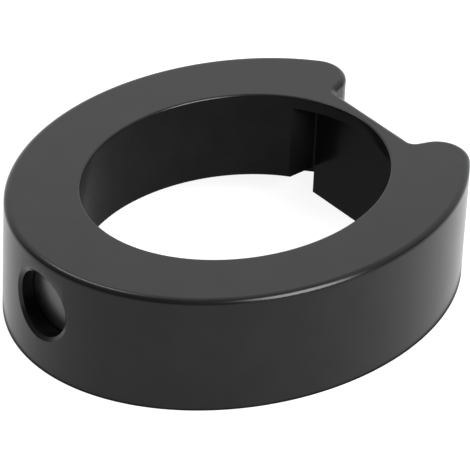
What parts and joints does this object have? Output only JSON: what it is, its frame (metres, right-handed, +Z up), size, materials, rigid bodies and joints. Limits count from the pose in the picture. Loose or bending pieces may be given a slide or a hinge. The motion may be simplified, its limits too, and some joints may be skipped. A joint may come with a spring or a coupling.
{
  "type": "shaft collar",
  "caption": "Oval shaft collar with a notched hook end, a skirted underside and a covered radial hole for a hex-socket set screw with a brass pad.",
  "frame": {"origin": "centre of the collar's box at its base, on the face the collar stands on", "axes": "+X along the length, from the set screw hole to the notch; +Y across the width; +Z up along the bore"},
  "size_m": [0.0572, 0.05, 0.016],
  "materials": {
    "collar": "satin black",
    "cover": "gloss black",
    "screw": "black oxide",
    "pad": "turned"
  },
  "bodies": {
    "collar": {"collar_body": "collar"},
    "cover": {"screw_cover": "cover"},
    "pad": {"pressure_pad": "pad"},
    "screw": {"set_screw": "screw"}
  },
  "joints": [
    {"name": "cover_pull", "type": "slide", "parent": "collar", "child": "cover", "axis": [-1, 0, 0], "range_m": [0, 0.005]},
    {"name": "pad_slide", "type": "slide", "parent": "collar", "child": "pad", "axis": [1, 0, 0], "range_m": [-0.0006, 0.001]},
    {"name": "screw_turn", "type": "hinge", "parent": "pad", "child": "screw", "pos_m": [-0.0222, 0, 0.0092], "axis": [1, 0, 0], "range_deg": [-218, 362]}
  ],
  "couplings": [
    {"joint": "screw_turn", "follows": "pad_slide", "rad_per_m": 6283.2}
  ]
}
